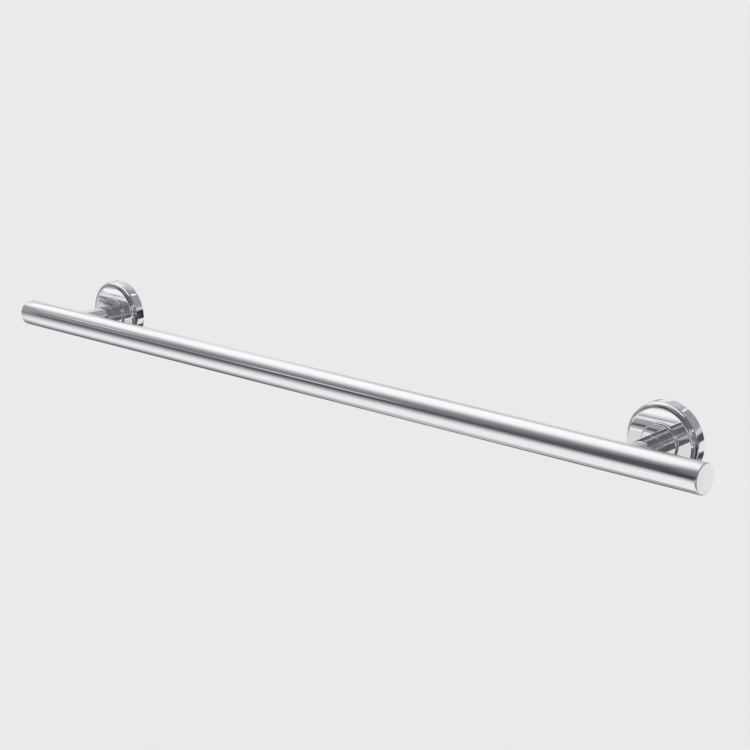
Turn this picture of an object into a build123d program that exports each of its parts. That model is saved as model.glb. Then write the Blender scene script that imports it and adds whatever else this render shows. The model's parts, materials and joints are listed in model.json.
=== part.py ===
from build123d import *
import os

# A straight grab bar for a shower or bath. A round tube runs past two round
# posts, and each post ends in a stepped round rosette on the wall.
# X runs along the bar, Z is up, and the wall's face is the plane Y = 0.
# The room lies on the -Y side. The origin is on the wall, midway between the
# two rosettes. All lengths are in millimetres.

# Every rubber ring clears its two seats and the sides of its groove by these
ring_clearance = 0.03
groove_side_clearance = 0.15

# The bar
tube_diameter = 30.0
tube_wall = 2.0
fixing_centres = 800.0  # from the middle of one rosette to the middle of the other
tube_overhang = 87.0  # from a post's centre line to the bar's end
wall_to_axis = 77.0  # from the wall to the tube's centre line

# The end caps, each a turned disc with a hollow plug
cap_disc = 1.5
cap_edge_radius = 0.5
plug_length = 14.0
plug_clearance = 0.1
plug_wall = 3.0
plug_floor = 3.0
plug_ring_section = 2.0

# The posts
post_diameter = 22.0
post_wall = 3.5
post_web = 7.0  # solid end of the post, behind the tube
saddle_clearance = 0.05

# The screw that holds a post to the tube
joint_screw_diameter = 8.0
joint_screw_length = 20.0
joint_head_diameter = 13.0
joint_head_height = 8.0
joint_socket_across = 6.0
joint_socket_depth = 4.0
screw_clearance = 0.2
thread_clearance = 0.05
washer_thickness = 1.5
washer_clearance = 0.25

# The curved nut inside the tube
nut_length = 26.0
nut_width = 16.0
nut_thickness = 9.0
nut_clearance = 0.05
nut_chamfer = 0.8

# The rosette, a hollow cover with a rounded shoulder
rosette_diameter = 78.0
rosette_depth = 16.2
shoulder_radius = 5.4
rosette_wall = 1.6
cover_clearance = 0.2

# The low collar ring that closes the rosette round the post
collar_width = 9.5  # from the post to the collar ring's rim
collar_height = 2.2
collar_edge_radius = 2.0
collar_clearance = 0.12
collar_ring_section = 1.5

# The wall plate that the screws hold
plate_thickness = 5.0
plate_clearance = 0.5
rim_ring_section = 2.5
screw_hole_diameter = 5.5
screw_hole_inset = 14.0  # from the rosette's rim to the middle of a screw hole
screw_holes = 4
countersink_diameter = 11.0
countersink_angle = 90.0

# The seal let into the back of the wall plate
seal_inset = 4.0  # from the plate's rim to the seal
seal_width = 2.0
seal_depth = 1.0
seal_clearance = 0.05

# The spigot that carries the post, and the screw behind it
spigot_clearance = 0.1
spigot_end_gap = 3.5
spigot_chamfer = 1.0
spigot_screw_diameter = 8.0
spigot_screw_length = 22.0
spigot_head_diameter = 15.5
spigot_head_recess = 0.2
spigot_head_clearance = 0.05
spigot_socket_across = 5.0
spigot_socket_depth = 2.4
spigot_hole_reserve = 3.0

# The grub screw under the post, with its cone point in the spigot's groove
grub_diameter = 6.0
grub_from_collar = 9.0
grub_recess = 0.3
grub_point_radius = 1.4
grub_point_height = 1.5
grub_socket_across = 3.0
grub_socket_depth = 1.8
groove_depth = 1.1
groove_clearance = 0.15

# Places and radii that follow from the sizes above
tube_radius = tube_diameter / 2
tube_bore = tube_radius - tube_wall
post_radius = post_diameter / 2
post_bore = post_radius - post_wall
spigot_radius = post_bore - spigot_clearance
rosette_radius = rosette_diameter / 2
rosette_bore = rosette_radius - rosette_wall
plate_radius = rosette_bore - plate_clearance
screw_hole_radius = rosette_radius - screw_hole_inset  # of the circle they lie on
seal_radius = plate_radius - seal_inset
collar_front = rosette_depth + collar_height
web_back = wall_to_axis - tube_radius - post_web
head_seat = web_back - washer_thickness
spigot_end = head_seat - joint_head_height - spigot_end_gap
grub_height = collar_front + grub_from_collar
bar_end = fixing_centres / 2 + tube_overhang
tube_end = bar_end - cap_disc

SIDES = {"left": -1, "right": 1}
UPRIGHT = (Align.CENTER, Align.CENTER, Align.MIN)


def rod(radius, low, high):
    """A solid cylinder on the local Z axis, from one height to another."""
    return Pos(0, 0, low) * Cylinder(radius, high - low, align=UPRIGHT)


def ring(outer, inner, low, high):
    """A flat ring on the local Z axis."""
    return rod(outer, low, high) - rod(inner, low, high)


def round_ring(centre_radius, section, height):
    """A rubber ring of round section, lying level at a height."""
    return Pos(0, 0, height) * Torus(centre_radius, section / 2 - ring_clearance)


def ring_groove(outer, floor, section, height):
    """The groove round a disc or plug that holds a rubber ring."""
    half = section / 2 + groove_side_clearance
    return ring(outer, floor, height - half, height + half)


def hex_socket(across, low, high):
    """The hollow that a hexagon key fits, cut from one height to another."""
    outline = RegularPolygon(across / 2, 6, major_radius=False)
    return Pos(0, 0, low) * extrude(outline, high - low)


def outer_edge(body, height_rank):
    """The widest round edge at the top (-1) or the bottom (0) of a turned body."""
    return body.edges().group_by(Axis.Z)[height_rank].sort_by(SortBy.RADIUS)[-1]


def wall_frame(side):
    """Local axes at a rosette: Z points from the wall into the room, and Y is up."""
    place = Plane((side * fixing_centres / 2, 0, 0), x_dir=(1, 0, 0), z_dir=(0, -1, 0))
    return place.location


def end_frame(side):
    """Local axes at an end of the bar: Z points outwards along the tube."""
    place = Plane((side * tube_end, -wall_to_axis, 0), x_dir=(0, 1, 0), z_dir=(side, 0, 0))
    return place.location


def tube_body(radius, length):
    """A solid cylinder along X, on the tube's centre line."""
    return Pos(0, -wall_to_axis, 0) * Rot(0, 90, 0) * Cylinder(radius, length)


def make_tube():
    """The bar itself, with a hole in its back at each post."""
    tube = tube_body(tube_radius, 2 * tube_end) - tube_body(tube_bore, 2 * tube_end)
    hole = rod(joint_screw_diameter / 2 + screw_clearance, web_back, wall_to_axis)
    for side in SIDES.values():
        tube -= wall_frame(side) * hole
    return tube


def make_end_cap():
    """A disc as wide as the tube, with a hollow plug grooved for its rubber ring."""
    disc = rod(tube_radius, 0, cap_disc)
    disc = fillet(outer_edge(disc, -1), cap_edge_radius)
    plug_radius = tube_bore - plug_clearance
    plug = rod(plug_radius, -plug_length, 0)
    plug -= rod(plug_radius - plug_wall, -plug_length, -plug_floor)
    groove_floor = tube_bore - plug_ring_section
    groove = ring_groove(tube_bore, groove_floor, plug_ring_section, -plug_length / 2)
    return disc + plug - groove


def make_plug_ring():
    """The rubber ring that grips the inside of the tube."""
    centre = tube_bore - plug_ring_section / 2
    return round_ring(centre, plug_ring_section, -plug_length / 2)


def make_post():
    """A hollow post, coped to the tube in front and open to the spigot behind."""
    post = rod(post_radius, plate_thickness, wall_to_axis)
    post -= rod(post_bore, plate_thickness, web_back)
    post -= rod(joint_screw_diameter / 2 + screw_clearance, web_back, wall_to_axis)
    saddle = Rot(0, 90, 0) * Cylinder(tube_radius + saddle_clearance, 2 * post_diameter)
    post -= Pos(0, 0, wall_to_axis) * saddle
    return post - grub_axis() * rod(grub_diameter / 2, 0, post_diameter)


def grub_axis():
    """Local axes of the grub screw: Z points straight down from the post's centre."""
    return Pos(0, 0, grub_height) * Rot(90, 0, 0)


def make_grub_screw():
    """A headless screw whose cone point stands in the spigot's groove."""
    point = spigot_radius - groove_depth + groove_clearance
    tail = post_radius - grub_recess
    shank = grub_diameter / 2 - thread_clearance
    screw = rod(shank, point + grub_point_height, tail)
    screw += Pos(0, 0, point) * Cone(grub_point_radius, shank, grub_point_height, align=UPRIGHT)
    screw -= hex_socket(grub_socket_across, tail - grub_socket_depth, tail)
    return grub_axis() * screw


def make_spigot():
    """The stud that the post slides over, tapped from behind and grooved for the grub screw."""
    spigot = rod(spigot_radius, plate_thickness, spigot_end)
    spigot = chamfer(outer_edge(spigot, -1), spigot_chamfer)
    hole_end = spigot_screw_length + spigot_hole_reserve
    spigot -= rod(spigot_screw_diameter / 2 + thread_clearance, plate_thickness, hole_end)
    floor = spigot_radius - groove_depth
    half = grub_point_radius + groove_clearance
    outline = Polyline(
        (floor, grub_height - half),
        (spigot_radius, grub_height - half - groove_depth),
        (spigot_radius + groove_depth, grub_height - half - 2 * groove_depth),
        (spigot_radius + groove_depth, grub_height + half + 2 * groove_depth),
        (spigot_radius, grub_height + half + groove_depth),
        (floor, grub_height + half),
        close=True,
    )
    groove = revolve(Plane.XZ * make_face(outline), Axis.Z)
    return spigot - groove


def make_spigot_screw():
    """The countersunk screw that pulls the spigot onto the wall plate."""
    shank = spigot_screw_diameter / 2
    head = spigot_head_diameter / 2
    head_height = head - shank
    screw = rod(shank, spigot_head_recess, spigot_screw_length)
    screw += Pos(0, 0, spigot_head_recess) * Cone(head, shank, head_height, align=UPRIGHT)
    socket_end = spigot_head_recess + spigot_socket_depth
    return screw - hex_socket(spigot_socket_across, spigot_head_recess, socket_end)


def make_joint_screw():
    """The socket-head screw from the post's web into the curved nut."""
    head_back = head_seat - joint_head_height
    screw = rod(joint_screw_diameter / 2, head_seat, head_seat + joint_screw_length)
    head = rod(joint_head_diameter / 2, head_back, head_seat)
    head -= hex_socket(joint_socket_across, head_back, head_back + joint_socket_depth)
    return screw + head


def make_joint_washer():
    """The washer between the screw's head and the post's web."""
    hole = joint_screw_diameter / 2 + screw_clearance
    return ring(post_bore - washer_clearance, hole, head_seat, web_back)


def make_saddle_nut():
    """A nut curved to lie against the inside of the tube."""
    back = wall_to_axis - tube_bore
    block = Box(nut_length, nut_width, nut_thickness + back, align=UPRIGHT)
    block = chamfer(block.edges().filter_by(Axis.Z), nut_chamfer)
    inside = Rot(0, 90, 0) * Cylinder(tube_bore - nut_clearance, 2 * nut_length)
    nut = block & (Pos(0, 0, wall_to_axis) * inside)
    hole = joint_screw_diameter / 2 + thread_clearance
    return nut - rod(hole, back - tube_wall, wall_to_axis + tube_radius)


def make_rosette_cover():
    """A hollow round cover with a quarter-round shoulder and a hole for the post."""
    cover = rod(rosette_radius, 0, rosette_depth)
    cover = fillet(outer_edge(cover, -1), shoulder_radius)
    hollow = rod(rosette_bore, 0, rosette_depth - rosette_wall)
    hollow = fillet(outer_edge(hollow, -1), shoulder_radius - rosette_wall)
    return cover - hollow - rod(post_radius + cover_clearance, 0, rosette_depth)


def make_collar_ring():
    """The low ring with a rounded edge, hollowed behind for its rubber ring."""
    collar = rod(post_radius + collar_width, rosette_depth, collar_front)
    collar = fillet(outer_edge(collar, -1), collar_edge_radius)
    collar -= rod(post_radius + collar_clearance, rosette_depth, collar_front)
    seat = post_radius + collar_ring_section
    return collar - rod(seat, rosette_depth, rosette_depth + collar_ring_section)


def make_collar_seal():
    """The rubber ring that makes the collar ring grip the post."""
    centre = post_radius + collar_ring_section / 2
    return round_ring(centre, collar_ring_section, rosette_depth + collar_ring_section / 2)


def make_wall_plate():
    """The round plate on the wall, with countersunk holes and two grooves."""
    plate = rod(plate_radius, 0, plate_thickness)
    groove_floor = rosette_bore - rim_ring_section
    plate -= ring_groove(rosette_radius, groove_floor, rim_ring_section, plate_thickness / 2)
    plate -= ring(seal_radius, seal_radius - seal_width, 0, seal_depth)
    countersink = countersink_diameter / 2
    hole = CounterSinkHole(screw_hole_diameter / 2, countersink, plate_thickness, countersink_angle)
    for place in PolarLocations(screw_hole_radius, screw_holes):
        plate -= place * Pos(0, 0, plate_thickness) * hole
    return plate - spigot_screw_seat()


def spigot_screw_seat():
    """The hollow in the wall plate that holds the countersunk screw from behind."""
    hole = spigot_screw_diameter / 2 + screw_clearance
    mouth = spigot_head_diameter / 2 + spigot_head_recess + spigot_head_clearance
    return Cone(mouth, hole, mouth - hole, align=UPRIGHT) + rod(hole, 0, plate_thickness)


def make_rim_ring():
    """The rubber ring round the wall plate that the rosette cover grips."""
    centre = rosette_bore - rim_ring_section / 2
    return round_ring(centre, rim_ring_section, plate_thickness / 2)


def make_wall_seal():
    """The flat seal in the back of the wall plate, flush with the wall."""
    inner = seal_radius - seal_width + seal_clearance
    return ring(seal_radius - seal_clearance, inner, 0, seal_depth)


AT_THE_WALL = {
    "post": make_post,
    "joint_screw": make_joint_screw,
    "joint_washer": make_joint_washer,
    "saddle_nut": make_saddle_nut,
    "rosette_cover": make_rosette_cover,
    "rosette_rim_ring": make_rim_ring,
    "collar_ring": make_collar_ring,
    "collar_seal": make_collar_seal,
    "wall_plate": make_wall_plate,
    "wall_seal": make_wall_seal,
    "spigot": make_spigot,
    "spigot_screw": make_spigot_screw,
    "grub_screw": make_grub_screw,
}
AT_THE_END = {
    "end_cap": make_end_cap,
    "end_cap_ring": make_plug_ring,
}

nodes = {"bar_tube": make_tube()}
for side_name, side in SIDES.items():
    for piece, make in AT_THE_WALL.items():
        nodes[f"{piece}_{side_name}"] = wall_frame(side) * make()
    for piece, make in AT_THE_END.items():
        nodes[f"{piece}_{side_name}"] = end_frame(side) * make()

os.makedirs("parts", exist_ok=True)
for name, solid in nodes.items():
    solid.label = name
    export_step(solid, f"parts/{name}.step")
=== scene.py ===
import json
import math

import bpy
import numpy as np
from mathutils import Matrix, Vector


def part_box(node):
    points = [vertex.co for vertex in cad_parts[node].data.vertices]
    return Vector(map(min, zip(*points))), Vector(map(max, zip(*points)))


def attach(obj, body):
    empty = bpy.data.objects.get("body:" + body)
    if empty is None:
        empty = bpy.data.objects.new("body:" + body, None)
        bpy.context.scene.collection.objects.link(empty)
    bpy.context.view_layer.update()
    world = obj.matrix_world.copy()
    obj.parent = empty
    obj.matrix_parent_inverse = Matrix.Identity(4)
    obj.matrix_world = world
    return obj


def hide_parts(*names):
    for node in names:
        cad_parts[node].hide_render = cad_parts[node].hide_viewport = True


# A straight chrome grab bar on two round posts, each with a stepped round
# rosette at the wall. Lengths are in metres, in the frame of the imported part:
# X runs along the bar, Z is up, and the wall's face is the plane Y = 0.

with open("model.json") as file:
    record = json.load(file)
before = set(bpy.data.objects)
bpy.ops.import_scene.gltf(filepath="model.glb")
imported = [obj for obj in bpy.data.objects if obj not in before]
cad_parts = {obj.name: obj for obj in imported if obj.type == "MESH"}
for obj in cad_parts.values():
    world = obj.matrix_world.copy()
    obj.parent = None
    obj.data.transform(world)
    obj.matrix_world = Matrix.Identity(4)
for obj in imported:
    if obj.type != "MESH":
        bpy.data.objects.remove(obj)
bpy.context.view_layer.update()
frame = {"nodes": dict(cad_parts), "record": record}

MM = 0.001
SIDES = {"left": -1, "right": 1}

# Sizes that the frame's boxes don't give
SHOULDER_RADIUS = 5.4 * MM
COVER_WALL = 1.6 * MM
COVER_HOLE_GAP = 0.2 * MM
RIM_ROUND = 0.25 * MM
COVER_SUPPORT = 0.1 * MM
COLLAR_ROUND = 2.0 * MM
COLLAR_GAP = 0.12 * MM
COLLAR_SEAT = 1.5 * MM
EDGE_SUPPORT = 0.05 * MM
TUBE_WALL = 2.0 * MM
TUBE_END_ROUND = 0.12 * MM
CAP_DISC = 1.5 * MM
CAP_ROUND = 1.0 * MM
PLUG_GAP = 0.1 * MM
PLUG_WALL = 3.0 * MM
PLUG_FLOOR = 3.0 * MM
PLUG_RING = 2.0 * MM
GROOVE_SIDE = 0.15 * MM
POST_WALL = 3.5 * MM
POST_WEB = 7.0 * MM
SADDLE_GAP = 0.05 * MM
SCREW_HOLE = 4.2 * MM
SCREW_HOLE_MARGIN = 2.0 * MM
GRUB_FIT = 0.05 * MM
GRUB_HOLE_MARGIN = 1.0 * MM
DRILL_PAST = 2.0 * MM

# How finely the surfaces are divided
STEPS = 256
TUBE_RINGS = 25
SADDLE_RINGS = 8
POLE_WIDTH = 1e-9
SHARP_ANGLE = math.radians(30)

# Sizes that the frame gives
tube_low, tube_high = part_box("bar_tube")
TUBE_RADIUS = (tube_high.z - tube_low.z) / 2
TUBE_Y = (tube_high.y + tube_low.y) / 2
TUBE_END = tube_high.x
TUBE_BACK = -TUBE_Y - TUBE_RADIUS


def centre_x(node):
    """Where a node's middle lies along the bar."""
    low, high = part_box(node)
    return (low.x + high.x) / 2


# Surfaces


def arc(centre, radius, start, end, steps=18):
    """Points on a circle about a centre, from one angle in degrees to another."""
    angles = np.radians(np.linspace(start, end, steps + 1))
    ring = np.stack([np.cos(angles), np.sin(angles)], axis=1)
    return np.array(centre) + radius * ring


def outline(*stretches):
    """Points and arcs joined to one closed outline of (distance from axis, height)."""
    return np.concatenate([np.atleast_2d(stretch) for stretch in stretches])


def turned(profile):
    """A closed outline carried round the Z axis, as a grid of points.

    Point (i, j) stands at the distance from the axis and the height of the
    outline's point i, turned through j / STEPS of a full turn.
    """
    turn = np.linspace(0, 2 * math.pi, STEPS, endpoint=False)
    across = profile[:, 0][:, None]
    height = np.repeat(profile[:, 1][:, None], STEPS, axis=1)
    return np.stack([across * np.cos(turn), across * np.sin(turn), height], axis=2)


def skin(grid):
    """Vertices and outward faces of a grid of rings, whose last ring joins the first.

    A ring of no width is a pole, and becomes one vertex with triangles round
    it. The volume is the sum, over the triangles, of each one's corners'
    triple product over six; where it is negative the faces are turned over.
    """
    rows, columns = grid.shape[:2]
    pole = np.ptp(grid, axis=1).max(axis=1) < POLE_WIDTH
    keep = np.ones((rows, columns), bool)
    keep[pole, 1:] = False
    number = np.cumsum(keep.ravel()).reshape(rows, columns) - 1
    number[pole] = number[pole][:, :1]
    after = np.roll(number, -1, axis=0)
    corners = (number, after, np.roll(after, -1, axis=1), np.roll(number, -1, axis=1))
    quads = np.stack(corners, axis=2)
    next_pole = np.roll(pole, -1)
    walls = quads[~pole & ~next_pole].reshape(-1, 4)
    fans = [quads[pole & ~next_pole][..., :3].reshape(-1, 3)]
    fans.append(quads[~pole & next_pole][..., [0, 1, 3]].reshape(-1, 3))
    fans = np.concatenate(fans)
    points = grid[keep]
    triangles = np.concatenate([walls[:, [0, 1, 2]], walls[:, [0, 2, 3]], fans])
    a, b, c = (points[triangles[:, i]] for i in range(3))
    if np.einsum("ij,ij->", a, np.cross(b, c)) < 0:
        walls = walls[:, ::-1]
        fans = fans[:, ::-1]
    return points, walls.tolist() + fans.tolist()


def wall_axes(x):
    """Local axes at a rosette: Z points from the wall into the room, and Y is up."""
    return Matrix(((1, 0, 0, x), (0, 0, -1, 0), (0, 1, 0, 0), (0, 0, 0, 1)))


def end_axes(side):
    """Local axes at an end of the bar: Z points outwards along the tube."""
    return Matrix((
        (0, 0, side, side * TUBE_END),
        (side, 0, 0, TUBE_Y),
        (0, 1, 0, 0),
        (0, 0, 0, 1),
    ))


def new_object(name, grid, place):
    """A mesh object of one grid of rings, with its place in its mesh."""
    points, faces = skin(grid)
    turn = np.array(place)
    points = points @ turn[:3, :3].T + turn[:3, 3]
    mesh = bpy.data.meshes.new(name)
    mesh.from_pydata(points.tolist(), [], faces)
    made = bpy.data.objects.new(name, mesh)
    bpy.context.scene.collection.objects.link(made)
    return made


def drill(made, place, radius, low, high):
    """Take a round hole out of an object, along local Z from one height to another.

    The rod that cuts it is turned half a step, so that its edges don't fall
    on the object's own.
    """
    rod = outline((0, low), (radius, low), (radius, high), (0, high))
    half_step = Matrix.Rotation(math.pi / STEPS, 4, "Z")
    cutter = new_object("cutter", turned(rod), place @ half_step)
    hole = made.modifiers.new("hole", "BOOLEAN")
    hole.object = cutter
    hole.solver = "EXACT"
    drilled = made.evaluated_get(bpy.context.evaluated_depsgraph_get())
    made.data = bpy.data.meshes.new_from_object(drilled)
    made.modifiers.clear()
    bpy.data.objects.remove(cutter)


def finish(made, material, slot, *nodes):
    """Shade a piece smooth between its edges and set it in place of its CAD nodes."""
    made.data.shade_smooth()
    made.data.set_sharp_from_angle(angle=SHARP_ANGLE)
    made.data.materials.clear()
    made.data.materials.append(material)
    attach(made, "root")
    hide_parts(*nodes)


# Materials

NOISE_LOW = 0.3
NOISE_HIGH = 0.7


def new_material(name):
    """A material with its node tree, its shader and its Object coordinates."""
    material = bpy.data.materials.new(name)
    material.use_nodes = True
    tree = material.node_tree
    shader = tree.nodes["Principled BSDF"]
    coordinates = tree.nodes.new("ShaderNodeTexCoord")
    return material, tree, shader, coordinates.outputs["Object"]


def number(tree, operation, first, second=None, third=None):
    """A Math node on sockets or plain numbers."""
    node = tree.nodes.new("ShaderNodeMath")
    node.operation = operation
    for socket, value in zip(node.inputs, (first, second, third)):
        if value is None:
            continue
        if isinstance(value, (int, float)):
            socket.default_value = value
        else:
            tree.links.new(value, socket)
    return node.outputs[0]


def noise(tree, place, scale, detail=3.0, stretch=None):
    """Noise at so many waves a metre, longer along any axis whose stretch is above 1."""
    if stretch:
        mapping = tree.nodes.new("ShaderNodeMapping")
        mapping.inputs["Scale"].default_value = [1 / s for s in stretch]
        tree.links.new(place, mapping.inputs["Vector"])
        place = mapping.outputs["Vector"]
    texture = tree.nodes.new("ShaderNodeTexNoise")
    texture.inputs["Scale"].default_value = scale
    texture.inputs["Detail"].default_value = detail
    tree.links.new(place, texture.inputs["Vector"])
    return texture.outputs["Fac"]


def spread(tree, value, low, high, socket):
    """Carry noise, most of which lies between two levels, to a number from low to high."""
    node = tree.nodes.new("ShaderNodeMapRange")
    node.inputs["From Min"].default_value = NOISE_LOW
    node.inputs["From Max"].default_value = NOISE_HIGH
    node.inputs["To Min"].default_value = low
    node.inputs["To Max"].default_value = high
    tree.links.new(value, node.inputs["Value"])
    tree.links.new(node.outputs["Result"], socket)


def blend_colours(tree, value, first, second, socket):
    """Carry noise to a colour between two."""
    node = tree.nodes.new("ShaderNodeMix")
    node.data_type = "RGBA"
    node.inputs["A"].default_value = (*first, 1)
    node.inputs["B"].default_value = (*second, 1)
    tree.links.new(value, node.inputs["Factor"])
    tree.links.new(node.outputs["Result"], socket)


def bump(tree, value, height, strength, shader):
    """Raise the surface by noise, at so many metres for a full step."""
    node = tree.nodes.new("ShaderNodeBump")
    node.inputs["Distance"].default_value = height
    node.inputs["Strength"].default_value = strength
    tree.links.new(value, node.inputs["Height"])
    tree.links.new(node.outputs["Normal"], shader.inputs["Normal"])


def polished_chrome():
    """Bright plating: a mirror with a slow waviness and faint, uneven haze."""
    material, tree, shader, place = new_material("polished_chrome")
    shader.inputs["Metallic"].default_value = 1.0
    clouds = noise(tree, place, scale=45.0)
    haze = noise(tree, place, scale=320.0, detail=5.0)
    waves = noise(tree, place, scale=140.0, detail=1.0)
    darker = (0.946, 0.947, 0.949)
    lighter = (0.956, 0.957, 0.959)
    blend_colours(tree, clouds, darker, lighter, shader.inputs["Base Color"])
    spread(tree, haze, 0.012, 0.035, shader.inputs["Roughness"])
    bump(tree, waves, 0.004 * MM, 0.5, shader)
    return material


def brushed_steel():
    """Stainless steel: scratches along the bar's direction over a cloudy rolled surface."""
    material, tree, shader, place = new_material("brushed_steel")
    shader.inputs["Metallic"].default_value = 1.0
    scratches = noise(tree, place, scale=1300.0, detail=4.0, stretch=(40, 1, 1))
    clouds = noise(tree, place, scale=70.0)
    streaks = number(tree, "MULTIPLY_ADD", scratches, 2.0, number(tree, "SUBTRACT", clouds, 1.0))
    darker = (0.46, 0.46, 0.45)
    lighter = (0.72, 0.715, 0.70)
    blend_colours(tree, streaks, darker, lighter, shader.inputs["Base Color"])
    spread(tree, scratches, 0.20, 0.42, shader.inputs["Roughness"])
    bump(tree, scratches, 0.04 * MM, 0.5, shader)
    return material


def black_rubber():
    """Moulded rubber: nearly black, matt, with a fine pebbled skin."""
    material, tree, shader, place = new_material("black_rubber")
    clouds = noise(tree, place, scale=220.0)
    pebbles = noise(tree, place, scale=2200.0)
    darker = (0.018, 0.018, 0.019)
    lighter = (0.034, 0.034, 0.035)
    blend_colours(tree, clouds, darker, lighter, shader.inputs["Base Color"])
    spread(tree, pebbles, 0.55, 0.78, shader.inputs["Roughness"])
    bump(tree, pebbles, 0.04 * MM, 0.5, shader)
    return material


FINISHES = {"chrome": polished_chrome(), "steel": brushed_steel(), "rubber": black_rubber()}
for entry in frame["record"]["subparts"]:
    node = frame["nodes"][entry["node"]]
    node.data.materials.clear()
    node.data.materials.append(FINISHES[entry["material_slot"]])
CHROME = FINISHES["chrome"]


# The pieces that show


def make_tube():
    """The bar: a round tube with softened edges, and a screw hole in its back at each post.

    Its outline is a long thin rectangle beside the axis, with rings spread
    evenly along it and two more at each hole.
    """
    outer = TUBE_RADIUS
    inner = TUBE_RADIUS - TUBE_WALL
    soft = TUBE_END_ROUND
    near_hole = SCREW_HOLE + SCREW_HOLE_MARGIN
    stations = [np.linspace(-TUBE_END + soft, TUBE_END - soft, TUBE_RINGS)]
    for side_name in SIDES:
        at = centre_x(f"post_{side_name}")
        stations.append([at - near_hole, at + near_hole])
    stations = np.sort(np.concatenate(stations))
    outside = np.stack([np.full(len(stations), outer), stations], axis=1)
    inside = np.stack([np.full(len(stations) - 2, inner), stations[1:-1]], axis=1)
    profile = outline(
        arc((outer - soft, -TUBE_END + soft), soft, -90, 0, 4)[:-1],
        outside,
        arc((outer - soft, TUBE_END - soft), soft, 0, 90, 4)[1:],
        (inner, TUBE_END),
        inside[::-1],
        (inner, -TUBE_END),
    )
    along = Matrix(((0, 0, 1, 0), (1, 0, 0, TUBE_Y), (0, 1, 0, 0), (0, 0, 0, 1)))
    made = new_object("bar_tube_shell", turned(profile), along)
    for side_name in SIDES:
        place = wall_axes(centre_x(f"post_{side_name}"))
        drill(made, place, SCREW_HOLE, TUBE_BACK - DRILL_PAST, -TUBE_Y)
    finish(made, CHROME, "chrome", "bar_tube")


def make_cover(side_name):
    """The rosette cover: a shell with a quarter-round shoulder and a hole for the post.

    Its outline goes up the rim, round the shoulder, in to the hole, and back
    inside at the wall's thickness.
    """
    low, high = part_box(f"rosette_cover_{side_name}")
    rim = (high.z - low.z) / 2
    depth = high.y - low.y
    post_low, post_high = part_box(f"post_{side_name}")
    hole = (post_high.z - post_low.z) / 2 + COVER_HOLE_GAP
    corner = (rim - SHOULDER_RADIUS, depth - SHOULDER_RADIUS)
    inner_round = SHOULDER_RADIUS - COVER_WALL
    profile = outline(
        (rim - COVER_WALL, 0),
        arc((rim - RIM_ROUND, RIM_ROUND), RIM_ROUND, -90, 0, 4),
        (rim, corner[1] - COVER_SUPPORT),
        arc(corner, SHOULDER_RADIUS, 0, 90, 32),
        (corner[0] - COVER_SUPPORT, depth),
        (hole + COVER_SUPPORT, depth),
        (hole, depth - COVER_SUPPORT),
        (hole, depth - COVER_WALL),
        arc(corner, inner_round, 90, 0, 12),
    )
    place = wall_axes(centre_x(f"rosette_cover_{side_name}"))
    made = new_object(f"rosette_{side_name}", turned(profile), place)
    finish(made, CHROME, "chrome", f"rosette_cover_{side_name}")


def make_collar(side_name):
    """The collar ring: low, with a fully rounded edge, hollowed behind for its seal.

    Its outline goes up the rim, round the edge, in to the post's gap, and
    back down behind, with a step for the seal.
    """
    low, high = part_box(f"collar_ring_{side_name}")
    rim = (high.z - low.z) / 2
    base = -high.y
    top = -low.y
    post_low, post_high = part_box(f"post_{side_name}")
    post = (post_high.z - post_low.z) / 2
    gap = post + COLLAR_GAP
    profile = outline(
        (rim, base),
        (rim, top - COLLAR_ROUND - EDGE_SUPPORT),
        arc((rim - COLLAR_ROUND, top - COLLAR_ROUND), COLLAR_ROUND, 0, 90, 20),
        (rim - COLLAR_ROUND - EDGE_SUPPORT, top),
        (gap + 2 * EDGE_SUPPORT, top),
        (gap, top - 2 * EDGE_SUPPORT),
        (gap, base + COLLAR_SEAT),
        (post + COLLAR_SEAT, base + COLLAR_SEAT),
        (post + COLLAR_SEAT, base),
    )
    place = wall_axes(centre_x(f"collar_ring_{side_name}"))
    made = new_object(f"collar_{side_name}", turned(profile), place)
    finish(made, CHROME, "chrome", f"collar_ring_{side_name}")


def make_post(side_name):
    """The post: bored behind, coped in front to the tube's own curve, drilled below.

    A point on the coped end stands where the tube's surface is, so its height
    is the tube's distance from the wall less the root of (tube radius squared
    less the point's own offset above the tube's centre line squared).
    """
    low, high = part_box(f"post_{side_name}")
    radius = (high.z - low.z) / 2
    base = -high.y
    web_back = TUBE_BACK - POST_WEB
    bore = radius - POST_WALL
    grub_low, grub_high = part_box(f"grub_screw_{side_name}")
    grub_at = -(grub_low.y + grub_high.y) / 2
    grub_hole = (grub_high.y - grub_low.y) / 2 + GRUB_FIT
    turn = np.linspace(0, 2 * math.pi, STEPS, endpoint=False)

    def level(across, height):
        """A level ring."""
        heights = np.full(STEPS, height)
        return np.stack([across * np.cos(turn), across * np.sin(turn), heights], axis=1)

    def saddle(across):
        """A ring on the tube's surface."""
        up = across * np.sin(turn)
        height = -TUBE_Y - np.sqrt((TUBE_RADIUS + SADDLE_GAP) ** 2 - up**2)
        return np.stack([across * np.cos(turn), up, height], axis=1)

    near_hole = grub_hole + GRUB_HOLE_MARGIN
    heights = [base, grub_at - near_hole, grub_at + near_hole, web_back]
    rings = [level(radius, h) for h in heights]
    rings += [saddle(r) for r in np.linspace(radius, SCREW_HOLE, SADDLE_RINGS)]
    rings += [level(SCREW_HOLE, web_back)]
    rings += [level(bore, h) for h in heights[::-1]]
    place = wall_axes(centre_x(f"post_{side_name}"))
    made = new_object(f"post_shell_{side_name}", np.array(rings), place)
    down = place @ Matrix(((1, 0, 0, 0), (0, 0, -1, 0), (0, 1, 0, grub_at), (0, 0, 0, 1)))
    drill(made, down, grub_hole, bore / 2, radius + DRILL_PAST)
    finish(made, CHROME, "chrome", f"post_{side_name}")


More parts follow.
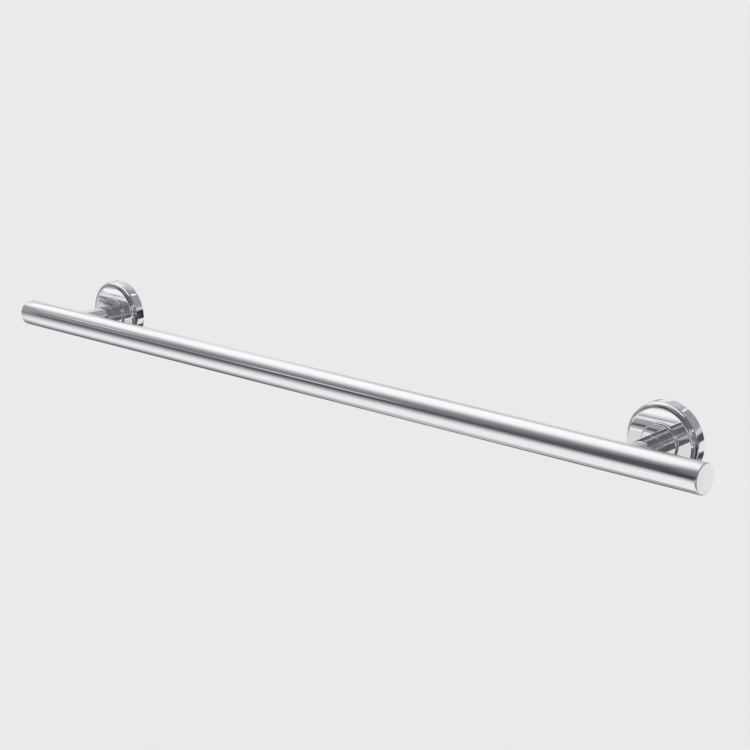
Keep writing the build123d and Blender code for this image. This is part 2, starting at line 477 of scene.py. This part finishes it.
def make_cap(side_name, side):
    """The end cap: a disc with a rounded edge on a grooved, hollow plug.

    Its outline goes from the disc's middle out to the edge, back along the
    plug and its groove, and in to the middle of the hollow's floor.
    """
    bore = TUBE_RADIUS - TUBE_WALL
    plug = bore - PLUG_GAP
    low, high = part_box(f"end_cap_{side_name}")
    length = high.x - low.x - CAP_DISC
    half = PLUG_RING / 2 + GROOVE_SIDE
    profile = outline(
        (0, CAP_DISC),
        (TUBE_RADIUS - CAP_ROUND - EDGE_SUPPORT, CAP_DISC),
        arc((TUBE_RADIUS - CAP_ROUND, CAP_DISC - CAP_ROUND), CAP_ROUND, 90, 0, 10),
        (TUBE_RADIUS, TUBE_END_ROUND),
        (TUBE_RADIUS - TUBE_END_ROUND, 0),
        (plug, 0),
        (plug, -length / 2 + half),
        (bore - PLUG_RING, -length / 2 + half),
        (bore - PLUG_RING, -length / 2 - half),
        (plug, -length / 2 - half),
        (plug, -length),
        (plug - PLUG_WALL, -length),
        (plug - PLUG_WALL, -PLUG_FLOOR),
        (0, -PLUG_FLOOR),
    )
    made = new_object(f"cap_{side_name}", turned(profile), end_axes(side))
    finish(made, CHROME, "chrome", f"end_cap_{side_name}")


make_tube()
for side_name, side in SIDES.items():
    make_cover(side_name)
    make_collar(side_name)
    make_post(side_name)
    make_cap(side_name, side)


# The camera, at the photograph's angle


CAMERA_PLACE = Vector((1.23424, -1.32677, 0.50218))
CAMERA_YAW = math.radians(-42.367)
CAMERA_PITCH = math.radians(-15.784)
CAMERA_ROLL = math.radians(-0.626)
SENSOR = 36.0
LENS = 82.179


def make_camera():
    """A camera that looks along a yaw from +Y and a pitch above the level, with a slight roll."""
    ahead = Vector((
        math.sin(CAMERA_YAW) * math.cos(CAMERA_PITCH),
        math.cos(CAMERA_YAW) * math.cos(CAMERA_PITCH),
        math.sin(CAMERA_PITCH),
    ))
    level = Vector((math.cos(CAMERA_YAW), -math.sin(CAMERA_YAW), 0))
    upright = level.cross(ahead)
    right = level * math.cos(CAMERA_ROLL) + upright * math.sin(CAMERA_ROLL)
    up = upright * math.cos(CAMERA_ROLL) - level * math.sin(CAMERA_ROLL)
    turn = Matrix((right, up, -ahead)).transposed()
    data = bpy.data.cameras.new("camera")
    data.sensor_width = SENSOR
    data.lens = LENS
    camera = bpy.data.objects.new("camera", data)
    camera.matrix_world = Matrix.Translation(CAMERA_PLACE) @ turn.to_4x4()
    bpy.context.scene.collection.objects.link(camera)
    bpy.context.scene.camera = camera


make_camera()

# The studio: a pale room whose soft lights and dark corners the chrome mirrors

# Brightness: of the background, of plain light on matt surfaces, and of the mirrored horizon and floor
BACKGROUND = 0.8228
PLAIN_LIGHT = 1.0
HORIZON = 0.12
FLOOR = 0.86

# The elevations between which the horizon turns into the floor, and how much blue stands out
FLOOR_FROM = 10
FLOOR_TO = -29
COOL = 0.005
COOL_MIDDLE = 0.06

# How far the real floor is below the object's middle, and half its width
FLOOR_DEPTH = 1.0
FLOOR_HALF = 60.0

# All angles are in degrees, and an azimuth is counted from +Y towards +X.
# Azimuth, elevation, the angle out to which it is full, the angle where it ends, brightness
ROUND_LIGHTS = {
    "ceiling_glow": (-80, 55, 20, 75, 0.30),
    "key_light_high": (-82, 60, 8, 42, 0.93),
    "key_light_low": (-66, 39, 12, 34, 1.0),
    "light_overhead": (0, 90, 6, 18, 0.95),
    "light_right": (112, 73, 8, 15, 0.95),
}
FLOOR_PATCHES = {
    "floor_shade": (-75, -39, 2, 35, 0.27),
    "under_shade": (-75, -68, 4, 20, 0.30),
    "corner_shade": (-45, -45, 3, 20, 0.10),
    "near_gap": (-63, -35, 5, 14, 0.09),
    "near_step": (-69, -49, 2, 8, 0.60),
}

# Azimuth, elevation, lean, half width, half height, soft edge across, soft edge up, brightness.
# A later board lies over an earlier one.
BOARDS = {
    # Behind the bar
    "back_wall": (12, 32, 0, 46, 24, 6, 4, 0.31),
    "back_wall_left": (-24, 32, 0, 16, 20, 12, 6, 0.55),
    # Behind it, at the left
    "side_reflector": (-52, 8, 0, 12, 22, 5, 6, 0.80),
    "side_curtain": (-38, 12, 0, 6, 20, 3, 6, 0.60),
    "side_board": (-54, -14, 0, 9, 13, 4, 4, 0.22),
    "side_gap": (-57, 20, 0, 4, 3, 3, 3, 0.35),
    "side_light": (-38, 43, 0, 5, 8, 4, 6, 0.82),
    "side_gap_high": (-47, 29, 0, 2, 3, 2.5, 3, 0.48),
    "side_slot": (-33, 24, 0, 4, 5, 2, 3, 0.42),
    "side_lamp": (-32, 8, 0, 4, 8, 3, 4, 0.85),
    # Behind it, lower down and to the right
    "lower_back": (5, -40, 0, 50, 34, 10, 8, 0.36),
    "back_panel": (-6, 0, 0, 15, 14, 4, 4, 0.85),
    "strip_light": (-2, 32, 1.2, 5, 2.5, 1, 1, 0.85),
    "strip_light_far": (19, 44.5, 0.5, 5, 3, 1.5, 1.5, 1.0),
    "ledge": (34, 9, 0.1, 16, 4, 4, 2, 0.60),
    "ledge_end": (54, 15, 0, 5, 10, 3, 3, 0.45),
    "dark_board": (27, -2, 0, 8, 5.5, 2, 1.5, 0.08),
    "dark_board_far": (45, -7, 0, 8, 11, 1.5, 1, 0.025),
    "window": (24, -15, 0, 8, 7, 1.5, 1, 0.80),
    "window_far": (43, -26, 0, 7, 8, 1.5, 1, 0.80),
    "dark_step": (16, -26.5, 0, 9, 3.5, 3, 1.5, 0.06),
    "dark_step_far": (31, -35, 0, 10, 3, 2, 1.5, 0.07),
    # At the left
    "middle_wall": (-95, 15, 0, 26, 11, 9, 4, 0.32),
    "middle_wall_near": (-80, 15, 0, 8, 10, 6, 4, 0.45),
    "middle_floor": (-96, -8, 0, 18, 6, 8, 4, 0.22),
    # In the room, at the left
    "far_wall": (-128, 28, 0, 6, 3, 4, 3, 0.22),
    "far_corner": (-147, 26, 0, 5, 8, 4, 5, 0.09),
    "far_lamp": (-113, 30, 0, 4, 3, 4, 3, 0.44),
    "far_spot": (-118.5, 29.5, 0, 1.5, 1.5, 2, 1.2, 0.85),
    "far_gap": (-138, 8, -0.2, 10, 4, 8, 5, 0.08),
    "far_line": (-129.5, 16, 0, 5, 2.5, 2, 1.5, 0.30),
    "far_slit": (-135, 17.8, 0, 2.7, 1.7, 1.5, 1, 0.85),
    "far_door": (-162, 8, 0, 15, 11, 8, 8, 0.06),
    "alcove": (-168, 33, -0.4, 8, 4, 4, 3, 0.36),
    # At the right
    "right_wall": (105, 28, 0, 48, 24, 8, 8, 0.155),
    "right_floor": (122, -29, 0, 74, 27, 8, 5, 0.11),
    "right_mat": (78, -24, 0, 24, 13, 8, 5, 0.035),
    "right_pillar": (128, -14, 0, 11, 18, 5, 5, 0.27),
    "right_step": (66, -54, 0, 32, 12, 8, 5, 0.26),
    "right_strip": (97, 27, 0, 16, 3, 5, 1.5, 0.90),
    "right_panel": (150, -5, 0, 22, 6, 4, 3, 0.85),
    "right_lamp": (138, 15, 0, 5, 5, 2, 2, 0.85),
    "right_lamp_high": (152, 12, 0, 5, 5, 2, 2, 0.75),
    "right_lamp_low": (100, 14, 0, 8, 3, 3, 2, 0.38),
}


DEGREES = math.degrees(1)


def soft_step(tree, value, start, end, low=0.0, high=1.0):
    """A smooth step of a socket from low at start to high at end."""
    node = tree.nodes.new("ShaderNodeMapRange")
    node.interpolation_type = "SMOOTHSTEP"
    node.inputs["From Min"].default_value = start
    node.inputs["From Max"].default_value = end
    node.inputs["To Min"].default_value = low
    node.inputs["To Max"].default_value = high
    tree.links.new(value, node.inputs["Value"])
    return node.outputs["Result"]


def lay_over(tree, below, inside, light):
    """Change what is below to a brightness, by how far a direction is inside."""
    return number(tree, "MULTIPLY_ADD", number(tree, "SUBTRACT", light, below), inside, below)


def round_light(tree, below, direction, azimuth, elevation, full, out, light):
    """Lay a round light over what is below it, fading with the angle from its middle.

    That angle is the arc cosine of the direction's dot product with the
    direction of the light's middle.
    """
    azimuth = math.radians(azimuth)
    elevation = math.radians(elevation)
    level_part = math.cos(elevation)
    middle = (math.sin(azimuth) * level_part, math.cos(azimuth) * level_part, math.sin(elevation))
    node = tree.nodes.new("ShaderNodeVectorMath")
    node.operation = "DOT_PRODUCT"
    node.inputs[1].default_value = middle
    tree.links.new(direction, node.inputs[0])
    angle = number(tree, "ARCCOSINE", node.outputs["Value"])
    degrees = number(tree, "MULTIPLY", angle, DEGREES)
    return lay_over(tree, below, soft_step(tree, degrees, out, full), light)


def edge(tree, offset, half, soft):
    """1 inside a board's half size and 0 outside it, with a soft step at its edge."""
    return soft_step(tree, number(tree, "ABSOLUTE", offset), half + soft, half - soft)


def board(tree, below, azimuth, elevation, place):
    """Lay a soft-edged board over what is below it.

    Its height is shifted by its lean times the azimuth from its middle.
    """
    at, up, lean, half_width, half_height, soft_across, soft_up, light = place
    across = number(tree, "WRAP", number(tree, "SUBTRACT", azimuth, at), 180, -180)
    shift = number(tree, "MULTIPLY", across, lean)
    rise = number(tree, "SUBTRACT", number(tree, "SUBTRACT", elevation, up), shift)
    beside = edge(tree, across, half_width, soft_across)
    above = edge(tree, rise, half_height, soft_up)
    return lay_over(tree, below, number(tree, "MULTIPLY", beside, above), light)


def studio_light(tree):
    """What chrome mirrors: a dark horizon over a pale floor, then lights, boards and patches.

    Blue stands above red and green by a fixed part, and by a part that is
    greatest at middle grey: the level times one less the level.
    """
    direction = tree.nodes.new("ShaderNodeTexCoord").outputs["Generated"]
    parts = tree.nodes.new("ShaderNodeSeparateXYZ")
    tree.links.new(direction, parts.inputs[0])
    turn = number(tree, "ARCTAN2", parts.outputs["X"], parts.outputs["Y"])
    azimuth = number(tree, "MULTIPLY", turn, DEGREES)
    elevation = number(tree, "MULTIPLY", number(tree, "ARCSINE", parts.outputs["Z"]), DEGREES)
    level = soft_step(tree, elevation, FLOOR_FROM, FLOOR_TO, HORIZON, FLOOR)
    for place in ROUND_LIGHTS.values():
        level = round_light(tree, level, direction, *place)
    for place in BOARDS.values():
        level = board(tree, level, azimuth, elevation, place)
    for place in FLOOR_PATCHES.values():
        level = round_light(tree, level, direction, *place)
    colour = tree.nodes.new("ShaderNodeCombineColor")
    tree.links.new(level, colour.inputs["Red"])
    tree.links.new(level, colour.inputs["Green"])
    middle = number(tree, "MULTIPLY", level, number(tree, "SUBTRACT", 1.0, level))
    cool = number(tree, "MULTIPLY_ADD", middle, COOL_MIDDLE, COOL)
    tree.links.new(number(tree, "ADD", level, cool), colour.inputs["Blue"])
    return colour.outputs["Color"]


def background(tree, level):
    """A background shader of one plain grey."""
    node = tree.nodes.new("ShaderNodeBackground")
    node.inputs["Color"].default_value = (level, level, level, 1)
    return node


def choose(tree, factor, first, second):
    """The first shader where the factor is 0, the second where it is 1."""
    node = tree.nodes.new("ShaderNodeMixShader")
    tree.links.new(factor, node.inputs[0])
    tree.links.new(first, node.inputs[1])
    tree.links.new(second, node.inputs[2])
    return node.outputs["Shader"]


def make_world():
    """Plain light for matt surfaces, the pale background for the camera, the studio for mirrors."""
    world = bpy.data.worlds.new("studio")
    bpy.context.scene.world = world
    world.use_nodes = True
    tree = world.node_tree
    tree.nodes.clear()
    mirrored = background(tree, 1.0)
    tree.links.new(studio_light(tree), mirrored.inputs["Color"])
    rays = tree.nodes.new("ShaderNodeLightPath")
    glossy = rays.outputs["Is Glossy Ray"]
    reflected = number(tree, "ADD", glossy, rays.outputs["Is Transmission Ray"])
    plain = background(tree, PLAIN_LIGHT)
    pale = background(tree, BACKGROUND)
    light = choose(tree, reflected, plain.outputs[0], mirrored.outputs[0])
    shown = choose(tree, rays.outputs["Is Camera Ray"], light, pale.outputs[0])
    output = tree.nodes.new("ShaderNodeOutputWorld")
    tree.links.new(shown, output.inputs["Surface"])


def make_floor():
    """A plain pale floor, wide enough that its edge is never seen."""
    half = FLOOR_HALF
    square = [(-half, -half), (half, -half), (half, half), (-half, half)]
    mesh = bpy.data.meshes.new("floor")
    mesh.from_pydata([(x, y, -FLOOR_DEPTH) for x, y in square], [], [(0, 1, 2, 3)])
    material = bpy.data.materials.new("pale_floor")
    material.use_nodes = True
    shader = material.node_tree.nodes["Principled BSDF"]
    shader.inputs["Base Color"].default_value = (BACKGROUND, BACKGROUND, BACKGROUND, 1)
    shader.inputs["Roughness"].default_value = 1.0
    shader.inputs["Specular IOR Level"].default_value = 0.0
    mesh.materials.append(material)
    floor = bpy.data.objects.new("floor", mesh)
    bpy.context.scene.collection.objects.link(floor)
    floor.visible_glossy = False


make_world()
make_floor()

bpy.context.scene.view_settings.view_transform = "Standard"
